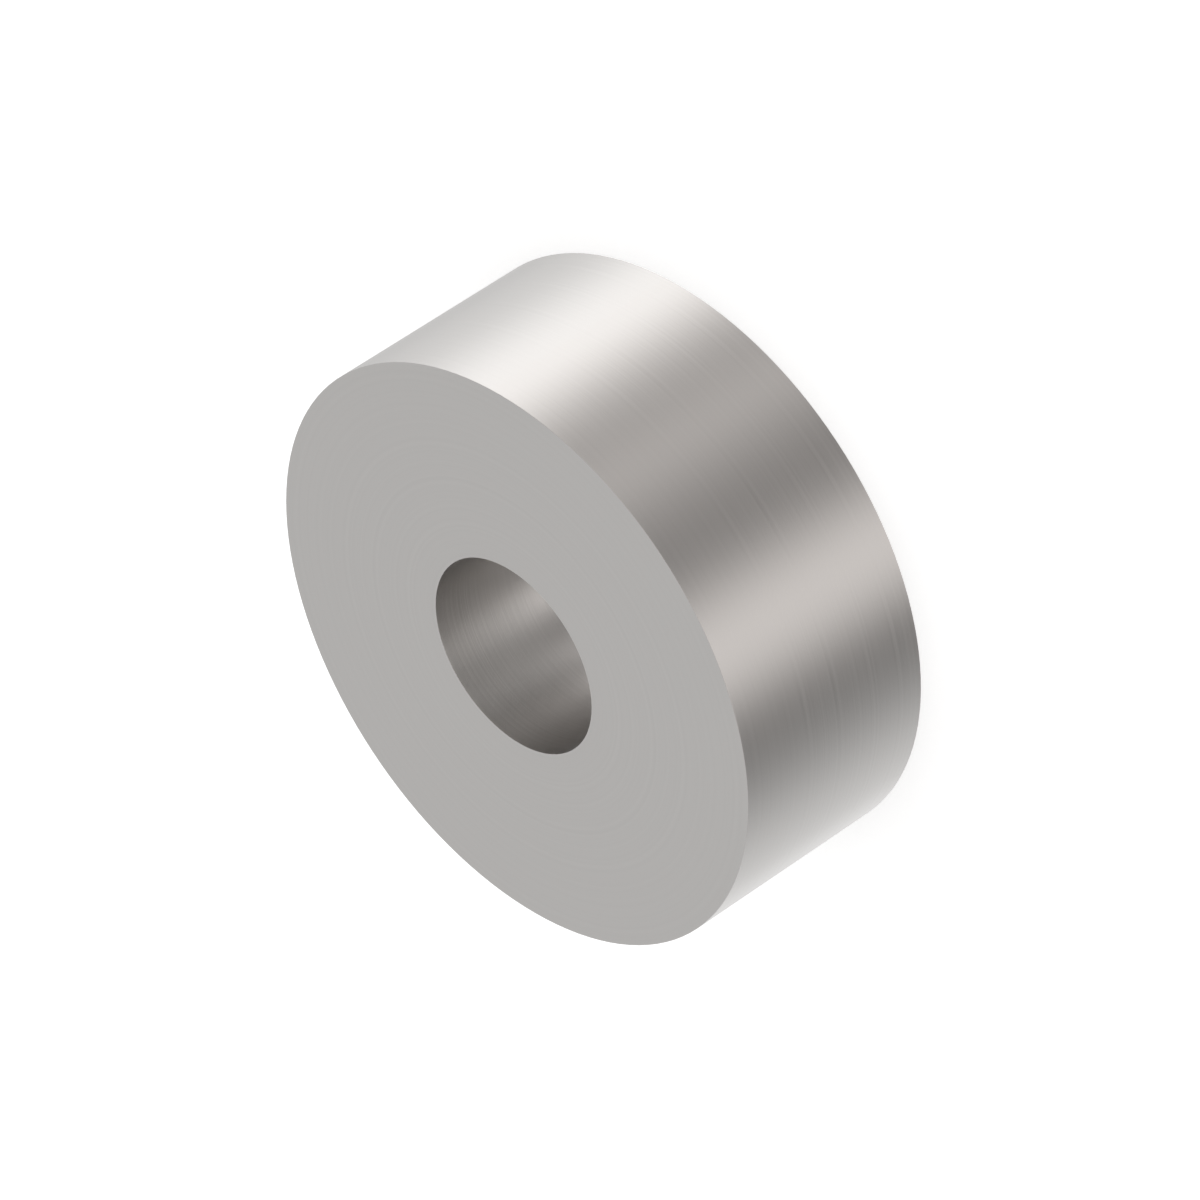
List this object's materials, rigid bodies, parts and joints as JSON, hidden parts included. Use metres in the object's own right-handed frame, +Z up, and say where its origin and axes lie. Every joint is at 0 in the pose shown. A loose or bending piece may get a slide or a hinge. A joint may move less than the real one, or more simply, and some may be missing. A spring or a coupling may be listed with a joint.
{
  "type": "counterweight spacer",
  "caption": "Plain thick steel ring with a central clearance bore, turned from round bar, that fits over a bolt or stud to hold or pad out a counterweight.",
  "frame": {"origin": "centre of the lower end face, on the bore axis, at the surface that the spacer stands on", "axes": "+Z up along the bore axis; X and Y lie in the end face and are free, because the ring is round"},
  "size_m": [0.04, 0.04, 0.015],
  "materials": {
    "turned_steel": "satin"
  },
  "bodies": {
    "root": {"spacer_ring": "turned_steel"}
  },
  "joints": []
}
